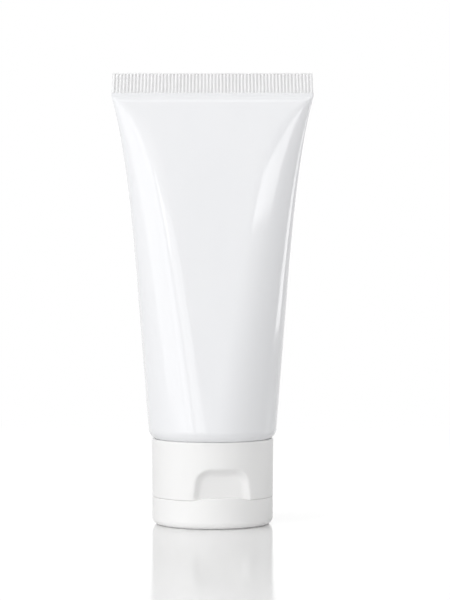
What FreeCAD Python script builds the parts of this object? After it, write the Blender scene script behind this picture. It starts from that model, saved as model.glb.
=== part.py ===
"""A squeeze tube that stands on its flip-top cap, in millimetres.

The frame: the tube stands upright along Z on the flat of its closed lid, at Z = 0. The wide
crimped end lies along X, and Y is the tube's depth. The cap is screwed on a little past square,
so it is built facing -Y and then turned about Z by cap_turn.
"""

import FreeCAD
import Part
import Sketcher

import math
import os

# ---------------------------------------------------------------- sizes

SIZES = {
    # the whole tube
    "full_height": 123.0,
    "tube_radius": 17.5,
    "crimp_width": 55.0,
    # the sleeve: a soft extruded pipe, sealed flat at its top end
    "sleeve_wall": 0.5,
    "hollow_tip": 0.25,
    "crimp_height": 5.5,
    "crimp_thickness": 0.9,
    "crimp_taper": 0.25,
    "seal_strip": 0.8,
    "rib_count": 58,
    "rib_height": 0.3,
    "side_flare": 7.0,
    "flare_power": 5.7,
    "depth_power": 0.6,
    "panel_start": 0.3,
    "panel_half": 15.0,
    "panel_power": 14.0,
    "heel_radius": 3.2,
    "curl": 0.4,
    # the moulded head: a shoulder that the sleeve is fused to, and the neck
    "head_wall": 1.2,
    "head_fit": 0.1,
    "flange_rise": 0.3,
    "shoulder_drop": 1.2,
    "neck_radius": 7.6,
    "neck_bore": 4.6,
    # the cream
    "cream_level": 104.0,
    "cream_gap": 0.1,
    # the cap's body, from its open rim down to the parting line with the lid
    "cap_turn": 10.0,
    "cap_top": 23.5,
    "cap_radius": 16.6,
    "cap_draft": 0.15,
    "cap_wall": 1.2,
    "rim_bevel": 0.35,
    "rim_seat": 0.9,
    "shoulder_sink": 0.4,
    "seam_height": 7.8,
    "seam_gap": 0.15,
    "deck_thickness": 1.4,
    "land_radius": 12.0,
    "land_height": 0.9,
    "nozzle_radius": 4.0,
    "nozzle_height": 1.5,
    "nozzle_bevel": 0.7,
    "orifice": 1.6,
    "skirt_bore": 8.5,
    "skirt_wall": 1.1,
    "skirt_gap": 0.9,
    "neck_gap": 0.7,
    "plug_clearance": 0.3,
    "plug_wall": 0.8,
    "plug_height": 3.2,
    # the thumb recess over the lid
    "recess_width": 15.8,
    "recess_top": 16.1,
    "recess_lean": 0.13,
    "recess_depth": 3.0,
    "recess_corner": 3.6,
    "recess_scoop": 2.2,
    # the lid
    "lid_floor": 1.3,
    "lid_corner": 2.1,
    "lip_rise": 0.75,
    "lip_depth": 1.6,
    "lip_clearance": 0.1,
    "pin_clearance": 0.2,
    "pin_entry": 1.2,
    "pin_bevel": 0.6,
    "ring_clearance": 0.25,
    "ring_wall": 0.8,
    "ring_entry": 0.6,
    # the hinge at the back
    "hinge_reach": 0.6,
    "hinge_width": 9.0,
    "hinge_lip": 1.4,
    "hinge_gap": 0.08,
}

# How finely the soft forms are drawn: levels in the sleeve's height and in its heel, facets in a
# quarter of its section, and chords in the rounded corners of the turned pieces.
OUTSIDE = {"levels": 10, "heel": 4, "facets": 10}
INSIDE = {"levels": 8, "heel": 3, "facets": 8}
HEEL_CHORDS = 2
LID_CHORDS = 4

# One rib across its pitch: the shares at which its groove and its ridge start and end.
RIB_GROOVE = (0.0, 0.18)
RIB_RIDGE = (0.36, 0.82)

doc = FreeCAD.newDocument("squeeze_tube")
sheet = doc.addObject("Spreadsheet::Sheet", "sizes")
for row, (alias, number) in enumerate(SIZES.items(), start=1):
    sheet.set(f"A{row}", alias.replace("_", " "))
    sheet.set(f"B{row}", str(number))
    sheet.setAlias(f"B{row}", alias)
doc.recompute()


class Size:
    """A length with its formula: sums of named sizes keep both the number and the expression."""

    def __init__(self, number, text):
        self.number = number
        self.text = text

    def join(self, other, sign):
        if not isinstance(other, Size):
            other = Size(float(other), str(other))
        number = {"+": self.number + other.number,
                  "-": self.number - other.number,
                  "*": self.number * other.number,
                  "/": self.number / other.number if other.number else 0.0}[sign]
        return Size(number, f"({self.text} {sign} {other.text})")

    def __add__(self, other):
        return self.join(other, "+")

    def __sub__(self, other):
        return self.join(other, "-")

    def __mul__(self, other):
        return self.join(other, "*")

    def __truediv__(self, other):
        return self.join(other, "/")

    def __neg__(self):
        return Size(-self.number, f"(-{self.text})")


def size(alias):
    """A driving size from the sheet."""
    return Size(float(sheet.get(alias)), f"sizes.{alias}")


ZERO = Size(0.0, "0")

# ---------------------------------------------------------------- heights and radii in common

crimp_base = size("full_height") - size("crimp_height")
seal_base = crimp_base - size("seal_strip")
shoulder = size("cap_top") - size("shoulder_sink")
heel_top = shoulder + size("heel_radius")
heel_centre = size("tube_radius") - size("heel_radius")
curl_edge = heel_centre - size("curl")

lid_radius = size("cap_radius") - size("cap_draft")
lid_top = size("seam_height") - size("seam_gap")
deck_top = size("seam_height") + size("deck_thickness")
land = size("seam_height") - size("land_height")
nozzle_tip = land - size("nozzle_height")
neck_end = deck_top + size("neck_gap")
recess_floor = size("cap_radius") - size("recess_depth")
plug_radius = size("neck_bore") - size("plug_clearance")
plug_top = deck_top + size("plug_height")
hinge_radius = lid_radius + size("hinge_reach")

# ---------------------------------------------------------------- helpers


def bind(thing, prop, value):
    thing.setExpression(prop, value.text)


def sketch_on(body, plane, name):
    """A new sketch on one of the body's own origin planes."""
    sketch = body.newObject("Sketcher::SketchObject", name)
    origin = [item for item in body.Origin.OriginFeatures if item.Role == plane][0]
    sketch.AttachmentSupport = [(origin, "")]
    sketch.MapMode = "FlatFace"
    return sketch


def pin_point(sketch, edge, end, axis, value, name):
    """Holds one coordinate of a point, by a distance from the origin or on the axis itself."""
    if value is ZERO:
        sketch.addConstraint(Sketcher.Constraint("PointOnObject", edge, end, -2 if axis == "X" else -1))
        return
    first, second = ((-1, 1), (edge, end))
    if value.number < 0:
        first, second = second, first
        value = -value
    place = Sketcher.Constraint(f"Distance{axis}", *first, *second, value.number)
    index = sketch.addConstraint(place)
    sketch.renameConstraint(index, name)
    bind(sketch, f"Constraints.{name}", value)


def outline(sketch, corners):
    """A closed outline of straight edges, each corner held by two bound distances."""
    points = [FreeCAD.Vector(x.number, y.number, 0) for x, y in corners]
    for start, end in zip(points, points[1:] + points[:1]):
        sketch.addGeometry(Part.LineSegment(start, end), False)
    count = len(corners)
    for edge in range(count):
        sketch.addConstraint(Sketcher.Constraint("Coincident", edge, 2, (edge + 1) % count, 1))
    for edge, (x, y) in enumerate(corners):
        pin_point(sketch, edge, 1, "X", x, f"across_{edge}")
        pin_point(sketch, edge, 1, "Y", y, f"up_{edge}")


def turned(name, corners):
    """A body turned about Z from a half section given as corners of radius and height."""
    body = doc.addObject("PartDesign::Body", name)
    sketch = sketch_on(body, "XZ_Plane", f"{name}_section")
    outline(sketch, corners)
    turn = body.newObject("PartDesign::Revolution", f"{name}_turn")
    turn.Profile = sketch
    turn.ReferenceAxis = (sketch, ["V_Axis"])
    turn.Angle = 360
    doc.recompute()
    return body


def rounded(body, name, edges, radius):
    """Rounds the named edges of a body's tip."""
    base = body.Tip
    fillet = body.newObject("PartDesign::Fillet", name)
    fillet.Base = (base, edges)
    bind(fillet, "Radius", radius)
    body.Tip = fillet
    doc.recompute()


def bevelled(body, name, edges, width):
    """Bevels the named edges of a body's tip."""
    base = body.Tip
    chamfer = body.newObject("PartDesign::Chamfer", name)
    chamfer.Base = (base, edges)
    bind(chamfer, "Size", width)
    body.Tip = chamfer
    doc.recompute()


def circles(body, radius, height):
    """The names of the tip's circular edges of this radius at this height."""
    found = []
    for index, edge in enumerate(body.Tip.Shape.Edges, start=1):
        curve = edge.Curve
        if isinstance(curve, Part.Circle):
            near = abs(curve.Radius - radius.number) < 0.01
            level = abs(curve.Center.z - height.number) < 0.01
            if near and level:
                found.append(f"Edge{index}")
    return found


def edges_where(body, test):
    """The names of the tip's edges whose points all pass the test."""
    found = []
    for index, edge in enumerate(body.Tip.Shape.Edges, start=1):
        points = edge.discretize(5)
        if all(test(point) for point in points):
            found.append(f"Edge{index}")
    return found


def boolean(kind, name, base, tools):
    """A Part boolean of document objects."""
    result = doc.addObject(f"Part::{kind}", name)
    if kind in ("MultiFuse", "MultiCommon"):
        result.Shapes = [base] + tools
    else:
        result.Base = base
        result.Tool = tools[0]
    doc.recompute()
    return result


# ---------------------------------------------------------------- the sleeve's flattening section


def half_width(part):
    """Half the sleeve's width, at a part 0 (round end) to 1 (seal) of its free height."""
    flare = size("side_flare").number
    last = size("crimp_width").number / 2 - size("tube_radius").number - flare
    return size("tube_radius").number + flare * part + last * part ** size("flare_power").number


def half_depth(part):
    """Half the sleeve's depth: round at the heel, the two pressed walls at the seal."""
    seal = size("crimp_thickness").number / 2
    return seal + (size("tube_radius").number - seal) * (1 - part) ** size("depth_power").number


def half_panel(part):
    """Half the flat front panel, which opens from a narrow strip to the full seal."""
    start = size("panel_start").number
    straight = size("panel_half").number
    corner = (size("crimp_width").number - size("crimp_thickness").number) / 2 - straight
    return start + (straight - start) * part + corner * part ** size("panel_power").number


def ring(width, depth, panel, height, facets):
    """One closed section: a flat panel front and back, joined by half ellipses of flat facets.

    A facet faces the same way at every height and touches the ellipse, so that all the walls
    between two sections are plane.
    """
    end = width - panel
    facing = [math.pi / 2 * step / facets for step in range(facets + 1)]
    reach = [panel * math.sin(turn) + math.hypot(end * math.sin(turn), depth * math.cos(turn))
             for turn in facing]
    quarter = []
    for near in range(facets):
        far = near + 1
        spread = math.sin(facing[near] - facing[far])
        across = reach[near] * math.cos(facing[far]) - reach[far] * math.cos(facing[near])
        deep = reach[far] * math.sin(facing[near]) - reach[near] * math.sin(facing[far])
        quarter.append((across / spread, deep / spread))
    right = quarter + [(x, -y) for x, y in reversed(quarter)]
    left = [(-x, -y) for x, y in right]
    return [FreeCAD.Vector(x, y, height) for x, y in right + left]


def free_rings(inset, first, last, fineness):
    """Sections of the free sleeve between two parts of its height, closer together at both ends."""
    base = heel_top.number
    rise = seal_base.number - base
    rings = []
    levels = fineness["levels"]
    for step in range(levels + 1):
        share = (1 - math.cos(math.pi * step / levels)) / 2
        part = first + (last - first) * share
        width = half_width(part) - inset
        depth = half_depth(part) - inset
        rings.append(ring(width, depth, half_panel(part), base + rise * part, fineness["facets"]))
    return rings


def heel_rings(inset, fineness):
    """Round sections that curl in under the shoulder, from the curled edge up to the heel's top."""
    radius = size("heel_radius").number - inset
    rings = []
    for step in range(fineness["heel"]):
        angle = math.pi / 2 * (1 - step / fineness["heel"])
        across = heel_centre.number + radius * math.cos(angle)
        height = heel_top.number - radius * math.sin(angle)
        rings.append(ring(across, across, half_panel(0), height, fineness["facets"]))
    return rings


def flat_face(corners):
    """A plane face on its corners."""
    return Part.Face(Part.makePolygon(corners + corners[:1]))


def lofted(name, rings):
    """A solid through a row of sections, with a plane wall between each two matching sides."""
    faces = [flat_face(rings[0]), flat_face(rings[-1])]
    for low, high in zip(rings, rings[1:]):
        for side in range(len(low)):
            faces.append(flat_face([low[side - 1], low[side], high[side], high[side - 1]]))
    loft = doc.addObject("Part::Feature", name)
    loft.Shape = Part.Solid(Part.Shell(faces))
    return loft


# ---------------------------------------------------------------- sleeve


def crimp_outline():
    """The ribbed seal seen from above: a band pressed to a wave, the same way on both faces."""
    count = int(size("rib_count").number)
    pitch = size("crimp_width").number / count
    wave = size("rib_height").number / 2
    half = size("crimp_width").number / 2
    wall = size("crimp_thickness").number / 2
    rib = [(share, -1) for share in RIB_GROOVE] + [(share, 1) for share in RIB_RIDGE]
    front = []
    for index in range(count):
        for share, side in rib:
            front.append((-half + (index + share) * pitch, -wall - wave * side))
    front.append((half, -wall + wave))
    back = [(x, y + 2 * wall) for x, y in reversed(front)]
    return front + back


def prism(name, corners, low, height):
    """An upright prism on a flat outline."""
    face = doc.addObject("Part::Feature", f"{name}_outline")
    face.Shape = flat_face([FreeCAD.Vector(x, y, low.number) for x, y in corners])
    solid = doc.addObject("Part::Extrusion", name)
    solid.Base = face
    solid.Dir = FreeCAD.Vector(0, 0, 1)
    solid.Solid = True
    bind(solid, "LengthFwd", height)
    return solid


def make_crimp():
    """The pressed end: a plain seal strip under the ribbed band, with its two sides tapered."""
    half = size("crimp_width").number / 2
    wall = size("crimp_thickness").number / 2
    rise = size("crimp_height") + size("seal_strip")
    strip = prism("seal_strip_band", [(-half, -wall), (half, -wall), (half, wall), (-half, wall)],
                  seal_base, rise)
    ribs = prism("crimp_ribs", crimp_outline(), crimp_base, size("crimp_height"))
    trim = doc.addObject("Part::Wedge", "crimp_trim")
    sides = size("crimp_width") / 2
    for side, value in (("Xmin", -sides), ("Xmax", sides),
                        ("X2min", size("crimp_taper") - sides), ("X2max", sides - size("crimp_taper")),
                        ("Zmin", -size("tube_radius")), ("Zmax", size("tube_radius")),
                        ("Z2min", -size("tube_radius")), ("Z2max", size("tube_radius")),
                        ("Ymin", ZERO), ("Ymax", rise)):
        bind(trim, side, value)
    trim.Placement = FreeCAD.Placement(FreeCAD.Vector(0, 0, seal_base.number),
                                       FreeCAD.Rotation(FreeCAD.Vector(1, 0, 0), 90))
    bind(trim, "Placement.Base.z", seal_base)
    band = boolean("MultiFuse", "crimp_band", strip, [ribs])
    return boolean("Common", "crimp", band, [trim])


def make_sleeve():
    """The sleeve: an open shell that curls in at the heel and ends in the ribbed crimp."""
    wall = size("sleeve_wall").number
    outside = lofted("sleeve_outside", heel_rings(0, OUTSIDE) + free_rings(0, 0, 1, OUTSIDE))
    tip = wall + size("hollow_tip").number
    closing = (tip - half_depth(1)) / (size("tube_radius").number - half_depth(1))
    last = 1 - closing ** (1 / size("depth_power").number)
    inside = lofted("sleeve_inside", heel_rings(wall, INSIDE) + free_rings(wall, 0, last, INSIDE))

    mouth = doc.addObject("Part::Cylinder", "sleeve_mouth")
    bind(mouth, "Radius", curl_edge)
    bind(mouth, "Height", size("sleeve_wall") * 3)
    bind(mouth, "Placement.Base.z", shoulder - size("sleeve_wall"))
    hollow = boolean("Cut", "sleeve_hollow", outside, [inside])
    shell = boolean("Cut", "sleeve_shell", hollow, [mouth])
    return boolean("MultiFuse", "sleeve", shell, [make_crimp()])


# ---------------------------------------------------------------- head and cream


def bend(radius, height, bow, chords=HEEL_CHORDS):
    """Corners along a rounded lower edge, from under it (at this height) out to this radius."""
    corners = []
    for step in range(chords + 1):
        angle = math.pi / 2 * step / chords
        corners.append((radius - bow * (1 - round(math.sin(angle), 6)),
                        height + bow * (1 - round(math.cos(angle), 6))))
    return corners


def make_head():
    """The head: a dished shoulder, a flange inside the sleeve's heel, and the plain neck."""
    lap = shoulder + size("sleeve_wall") + size("head_fit")
    inner = curl_edge - size("head_fit")
    outer = size("tube_radius") - size("sleeve_wall") - size("head_fit")
    top = heel_top + size("flange_rise")
    floor = lap + size("head_wall")
    throat = shoulder - size("shoulder_drop") + size("head_wall")
    reach = size("heel_radius") - size("sleeve_wall") - size("head_fit")
    return turned("tube_head", [
        (size("neck_bore"), neck_end),
        (size("neck_radius"), neck_end),
        (size("neck_radius"), shoulder - size("shoulder_drop")),
        (inner, shoulder),
        (inner, lap),
    ] + bend(outer, lap, reach) + [
        (outer, top),
        (outer - size("head_wall"), top),
    ] + bend(outer - size("head_wall"), floor, reach - size("head_wall"))[::-1] + [
        (size("neck_bore"), throat),
    ])


def make_cream():
    """The cream: it fills the neck and the sleeve up to its level under the crimp."""
    gap = size("cream_gap")
    floor = shoulder + size("sleeve_wall") + size("head_fit") + size("head_wall")
    inner = size("tube_radius") - size("sleeve_wall") - size("head_fit") - size("head_wall")
    throat = shoulder - size("shoulder_drop") + size("head_wall")
    top = heel_top + size("flange_rise") + gap
    bow = size("heel_radius") - size("sleeve_wall") - size("head_fit") - size("head_wall")
    foot = turned("cream_foot", [
        (ZERO, plug_top + gap),
        (size("neck_bore") - gap, plug_top + gap),
        (size("neck_bore") - gap, throat + gap),
    ] + bend(inner - gap, floor + gap, bow) + [
        (inner - gap, top + gap),
        (ZERO, top + gap),
    ])
    rise = seal_base.number - heel_top.number
    first = (top.number - heel_top.number) / rise
    last = (size("cream_level").number - heel_top.number) / rise
    fill = lofted("cream_fill", free_rings((size("sleeve_wall") + gap).number, first, last, INSIDE))
    return boolean("MultiFuse", "cream", foot, [fill])


# ---------------------------------------------------------------- cap body


def block(name, half, low, high, back, front, corner, scoop=None):
    """A block that faces -Y with leaning sides, rounded top corners and, if asked, a scooped back edge."""
    body = doc.addObject("PartDesign::Body", name)
    sketch = sketch_on(body, "XZ_Plane", f"{name}_section")
    bind(sketch, "AttachmentOffset.Base.z", back)
    foot = half + size("recess_lean") * (size("seam_height") - low)
    head = half - size("recess_lean") * (high - size("seam_height"))
    outline(sketch, [(-foot, low), (foot, low), (head, high), (-head, high)])
    pad = body.newObject("PartDesign::Pad", f"{name}_pad")
    pad.Profile = sketch
    bind(pad, "Length", front - back)
    doc.recompute()
    tips = edges_where(body, lambda p: abs(abs(p.x) - head.number) < 0.01
                       and abs(p.z - high.number) < 0.01)
    rounded(body, f"{name}_corners", tips, corner)
    if scoop:
        rim = edges_where(body, lambda p: abs(p.y + back.number) < 0.01)
        floor = edges_where(body, lambda p: abs(p.y + back.number) < 0.01
                            and abs(p.z - low.number) < 0.01)
        rounded(body, f"{name}_scoop", [edge for edge in rim if edge not in floor], scoop)
    return body


def cap_envelope(name):
    """The solid frustum inside the cap's drafted outer wall."""
    cone = doc.addObject("Part::Cone", name)
    bind(cone, "Radius1", lid_radius)
    bind(cone, "Radius2", size("cap_radius"))
    bind(cone, "Height", size("cap_top") - size("seam_height"))
    bind(cone, "Placement.Base.z", size("seam_height"))
    return cone


def hinge_lip(name, low, height, inside):
    """Half of the film hinge's root: a short rib across the back, out to just short of the axis."""
    rib = doc.addObject("Part::Box", name)
    bind(rib, "Length", size("hinge_width"))
    bind(rib, "Width", hinge_radius - size("hinge_gap") - inside)
    bind(rib, "Height", height)
    bind(rib, "Placement.Base.x", -size("hinge_width") / 2)
    bind(rib, "Placement.Base.y", inside)
    bind(rib, "Placement.Base.z", low)
    return rib


def make_cap():
    """The cap's body: drafted wall, deck with nozzle, screw skirt, plug ring and thumb recess."""
    inner = lid_radius - size("cap_wall")
    skirt = size("skirt_bore") + size("skirt_wall")
    skirt_top = shoulder - size("shoulder_drop") - size("skirt_gap")
    shell = turned("cap_shell", [
        (lid_radius, size("seam_height")),
        (size("cap_radius"), size("cap_top")),
        (inner + size("rim_seat"), size("cap_top")),
        (inner, size("cap_top") - size("rim_seat")),
        (inner, deck_top),
        (skirt, deck_top),
        (skirt, skirt_top),
        (size("skirt_bore"), skirt_top),
        (size("skirt_bore"), deck_top),
        (plug_radius, deck_top),
        (plug_radius, plug_top),
        (plug_radius - size("plug_wall"), plug_top),
        (plug_radius - size("plug_wall"), deck_top),
        (size("orifice"), land),
        (size("orifice"), nozzle_tip),
        (size("nozzle_radius"), nozzle_tip),
        (size("nozzle_radius"), land),
        (size("land_radius"), land),
        (size("land_radius"), size("seam_height")),
    ])
    bevelled(shell, "cap_rim", circles(shell, size("cap_radius"), size("cap_top")), size("rim_bevel"))
    bevelled(shell, "cap_nozzle", circles(shell, size("nozzle_radius"), nozzle_tip), size("nozzle_bevel"))

    half = size("recess_width") / 2
    wall = size("cap_wall")
    reach = size("cap_radius") + size("cap_wall")
    below = size("seam_height") - size("land_height")
    lining = block("recess_lining", half + wall, size("seam_height"), size("recess_top") + wall,
                   recess_floor - wall, reach, size("recess_corner") + wall)
    backing = boolean("Common", "recess_backing", lining, [cap_envelope("recess_envelope")])
    scoop = block("recess_hollow", half, below, size("recess_top"),
                  recess_floor, reach, size("recess_corner"), size("recess_scoop"))
    root = hinge_lip("cap_hinge_lip", size("seam_height"), size("hinge_lip"), inner)
    solid = boolean("MultiFuse", "cap_solid", shell, [backing, root])
    return boolean("Cut", "cap_body", solid, [scoop])


# ---------------------------------------------------------------- lid


def make_lid():
    """The lid: a shallow cup with a sealing pin, a ring round the nozzle and a raised thumb lip."""
    inner = lid_radius - size("cap_wall")
    pin = size("orifice") - size("pin_clearance")
    ring_in = size("nozzle_radius") + size("ring_clearance")
    ring_out = ring_in + size("ring_wall")
    cup = turned("lid_cup", [
        (ZERO, ZERO),
    ] + bend(lid_radius, ZERO, size("lid_corner"), LID_CHORDS) + [
        (lid_radius, lid_top),
        (inner, lid_top),
        (inner, size("lid_floor")),
        (ring_out, size("lid_floor")),
        (ring_out, nozzle_tip + size("ring_entry")),
        (ring_in, nozzle_tip + size("ring_entry")),
        (ring_in, size("lid_floor")),
        (pin, size("lid_floor")),
        (pin, nozzle_tip + size("pin_entry")),
        (ZERO, nozzle_tip + size("pin_entry")),
    ])
    bevelled(cup, "lid_corner_inside", circles(cup, inner, size("lid_floor")),
             size("lid_corner") - size("cap_wall"))
    bevelled(cup, "lid_pin_tip", circles(cup, pin, nozzle_tip + size("pin_entry")), size("pin_bevel"))

    half = size("recess_width") / 2 - size("lip_clearance")
    slab = block("lip_slab", half, lid_top - size("lip_depth"), size("recess_top"),
                 recess_floor + size("lip_clearance"), size("cap_radius"), size("recess_corner"),
                 size("recess_scoop"))
    rim = doc.addObject("Part::Cylinder", "lip_rim")
    bind(rim, "Radius", lid_radius)
    bind(rim, "Height", lid_top + size("lip_rise"))
    bow = half.number ** 2 / size("lip_rise").number / 2 + size("lip_rise").number / 2
    arch = doc.addObject("Part::Cylinder", "lip_arch")
    arch.Radius = bow
    bind(arch, "Height", lid_radius)
    arch.Placement = FreeCAD.Placement(
        FreeCAD.Vector(0, 0, (lid_top + size("lip_rise")).number - bow),
        FreeCAD.Rotation(FreeCAD.Vector(1, 0, 0), 90))
    lip = boolean("MultiCommon", "thumb_lip", slab, [rim, arch])
    root = hinge_lip("lid_hinge_lip", lid_top - size("hinge_lip"), size("hinge_lip"), inner)
    return boolean("MultiFuse", "lid", cup, [lip, root])


# ---------------------------------------------------------------- build, check and write


def turn_cap(piece):
    """Turns a piece of the cap about Z to where it sits when screwed home."""
    piece.Placement = FreeCAD.Placement(FreeCAD.Vector(0, 0, 0),
                                        FreeCAD.Rotation(FreeCAD.Vector(0, 0, 1), size("cap_turn").number))
    bind(piece, "Placement.Rotation.Angle", size("cap_turn"))


nodes = {
    "sleeve": make_sleeve(),
    "tube_head": make_head(),
    "cream": make_cream(),
    "cap_body": make_cap(),
    "lid": make_lid(),
}
turn_cap(nodes["cap_body"])
turn_cap(nodes["lid"])
doc.recompute()

for item in doc.Objects:
    if "Invalid" in item.State or "Error" in item.State:
        raise RuntimeError(f"{item.Name} failed: {item.State}")

os.makedirs("parts", exist_ok=True)
for name, piece in nodes.items():
    piece.Label = name
    shape = piece.Shape
    if shape.isNull() or not shape.isValid() or len(shape.Solids) != 1:
        raise RuntimeError(f"{name} is not one valid solid")
    shape.exportStep(f"parts/{name}.step")
    box = shape.BoundBox
    print(f"{name}: {shape.Volume:.1f} mm3, x {box.XMin:.2f} to {box.XMax:.2f}, "
          f"y {box.YMin:.2f} to {box.YMax:.2f}, z {box.ZMin:.2f} to {box.ZMax:.2f}")
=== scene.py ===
# %% [markdown]
# # A squeeze tube standing on its flip-top cap
# The object is a white cosmetic tube of 35 mm film, 123 mm tall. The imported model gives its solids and
# how they move; this script gives each visible piece a smooth mesh and a finish of its own. Everything
# is in metres, with Z up and the front of the tube facing -Y.

import math

import bmesh
import bpy
from mathutils import Matrix, Quaternion, Vector, noise


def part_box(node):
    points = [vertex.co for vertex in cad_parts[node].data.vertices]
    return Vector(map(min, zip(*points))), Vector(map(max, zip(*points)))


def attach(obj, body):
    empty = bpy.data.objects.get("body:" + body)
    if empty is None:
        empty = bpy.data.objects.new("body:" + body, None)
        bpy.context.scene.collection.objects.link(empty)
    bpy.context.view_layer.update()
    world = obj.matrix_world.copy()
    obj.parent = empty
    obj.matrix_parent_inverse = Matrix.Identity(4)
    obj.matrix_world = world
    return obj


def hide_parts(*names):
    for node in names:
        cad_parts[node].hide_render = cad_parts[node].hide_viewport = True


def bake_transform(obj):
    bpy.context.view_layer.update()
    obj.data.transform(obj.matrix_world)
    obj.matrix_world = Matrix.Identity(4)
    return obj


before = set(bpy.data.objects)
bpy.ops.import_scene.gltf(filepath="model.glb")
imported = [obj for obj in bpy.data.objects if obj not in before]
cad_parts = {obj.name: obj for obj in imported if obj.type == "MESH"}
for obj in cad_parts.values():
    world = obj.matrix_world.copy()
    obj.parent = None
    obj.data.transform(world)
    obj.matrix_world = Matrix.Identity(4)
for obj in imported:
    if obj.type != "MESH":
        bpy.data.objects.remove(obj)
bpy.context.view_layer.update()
MM = 0.001

# %% [markdown]
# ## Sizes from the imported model
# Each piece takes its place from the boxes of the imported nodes, so it lands on the solid it dresses.
# The boxes give the outer sizes. Walls, gaps and roundings are set once, by name, where they are first used.

# %% Places read from the frame
sleeve_low, sleeve_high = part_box("sleeve")
cap_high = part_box("cap_body")[1]
head_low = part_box("tube_head")[0]

TUBE_TOP = sleeve_high.z
TUBE_RADIUS = sleeve_high.y
SHOULDER = sleeve_low.z
CRIMP_HALF = sleeve_high.x
CAP_TOP = cap_high.z
CAP_RADIUS = 16.6 * MM
CAP_DRAFT = 0.15 * MM
CAP_TURN = math.radians(10)
SEAM = 7.8 * MM
LID_TOP = 7.74 * MM
LID_RADIUS = CAP_RADIUS - CAP_DRAFT
NECK_END = head_low.z
print(f"tube {TUBE_TOP / MM:.1f} mm tall, {CRIMP_HALF * 2 / MM:.1f} mm wide, cap to {CAP_TOP / MM:.1f} mm")

# %% [markdown]
# ## Small helpers for modelling
# An operator acts on whatever is selected, so each piece starts with nothing selected. In edit mode the
# parts to shape are then picked in code, by their place. A new piece is finished at the origin, with its
# place in its mesh, so that it can ride on a body of the model.

# %% Selecting and picking
def start_fresh():
    """Nothing selected, and object mode."""
    if bpy.context.object and bpy.context.object.mode != "OBJECT":
        bpy.ops.object.mode_set(mode="OBJECT")
    bpy.ops.object.select_all(action="DESELECT")


def take_new():
    """The primitive just added, with its place moved into its mesh, opened in edit mode."""
    piece = bpy.context.object
    bpy.ops.object.transform_apply(location=True, rotation=True, scale=True)
    bpy.ops.object.mode_set(mode="EDIT")
    bpy.ops.mesh.select_mode(type="VERT")
    return piece


def cut_across(place, direction):
    """Cuts the open piece through by one plane."""
    bpy.ops.mesh.select_all(action="SELECT")
    bpy.ops.mesh.bisect(plane_co=place, plane_no=direction, threshold=0.001 * MM)


def edit(piece):
    """Opens one piece in edit mode with nothing picked."""
    start_fresh()
    piece.select_set(True)
    bpy.context.view_layer.objects.active = piece
    bpy.ops.object.mode_set(mode="EDIT")
    bpy.ops.mesh.select_all(action="DESELECT")


def pick(piece, kind, test):
    """Picks the vertices, edges or faces whose middle passes the test."""
    mesh = bmesh.from_edit_mesh(piece.data)
    bpy.ops.mesh.select_mode(type={"verts": "VERT", "edges": "EDGE", "faces": "FACE"}[kind])
    bpy.ops.mesh.select_all(action="DESELECT")
    count = 0
    for item in getattr(mesh, kind):
        if kind == "verts":
            middle = item.co
        else:
            middle = sum((v.co for v in item.verts), Vector()) / len(item.verts)
        if test(middle):
            item.select_set(True)
            count += 1
    mesh.select_flush_mode()
    bmesh.update_edit_mesh(piece.data)
    return count

# %% [markdown]
# A finished piece has its name, clean faces that look outwards, its shading and the body that it rides on.
# Modifiers are applied at once, so that the next step works on what they made.

# %% Finishing a piece
def settle(piece, name, body, angle):
    """Names the piece, bakes its place into its mesh, shades it and, if it has a body, lets it ride on it."""
    start_fresh()
    piece.select_set(True)
    bpy.context.view_layer.objects.active = piece
    bpy.ops.object.transform_apply(location=True, rotation=True, scale=True)
    bpy.ops.object.shade_smooth_by_angle(angle=math.radians(angle))
    piece.name = name
    piece.data.name = name
    if body:
        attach(piece, body)
    print(f"{name}: {len(piece.data.vertices)} vertices, {len(piece.data.polygons)} faces on {body}")


def finish_modifier(piece, kind, **settings):
    """Adds a modifier and applies it at once."""
    start_fresh()
    piece.select_set(True)
    bpy.context.view_layer.objects.active = piece
    modifier = piece.modifiers.new(kind.title(), kind)
    for key, value in settings.items():
        setattr(modifier, key, value)
    bpy.ops.object.modifier_apply(modifier=modifier.name)


def close_up(piece):
    """Merges doubles and turns every face outwards."""
    edit(piece)
    bpy.ops.mesh.select_all(action="SELECT")
    bpy.ops.mesh.remove_doubles(threshold=0.005 * MM)
    bpy.ops.mesh.normals_make_consistent(inside=False)
    bpy.ops.object.mode_set(mode="OBJECT")


def ease(value):
    """A smooth step from 0 to 1."""
    value = min(max(value, 0.0), 1.0)
    return value * value * (3 - 2 * value)

# %% [markdown]
# ## How the sleeve's section changes
# A film tube is one round pipe, pressed flat at its far end. Its girth can't change, so as it gets
# flatter it gets wider. The section used here is a flat panel in front and behind, joined by two half
# ellipses. At the heel the panels are almost nothing and the ends are half circles; at the seal the panels
# take nearly the whole width. The highlights of such a tube run along the edges of these two panels.

# %% The sleeve's section
CRIMP_TALL = 5.5 * MM
SEAL_STRIP = 0.8 * MM
SEAL_HALF = 0.45 * MM
HEEL = 3.2 * MM
HEEL_TOP = SHOULDER + HEEL
SEAL_BASE = TUBE_TOP - CRIMP_TALL - SEAL_STRIP
FLARE, FLARE_END, FLARE_POWER = 7.0 * MM, 3.0 * MM, 5.7
PANEL_START, PANEL_SPREAD, PANEL_CORNER, PANEL_POWER = 0.3 * MM, 14.7 * MM, 12.05 * MM, 14
DEPTH_POWER = 0.6
SEAL_EASE = 0.005


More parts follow.
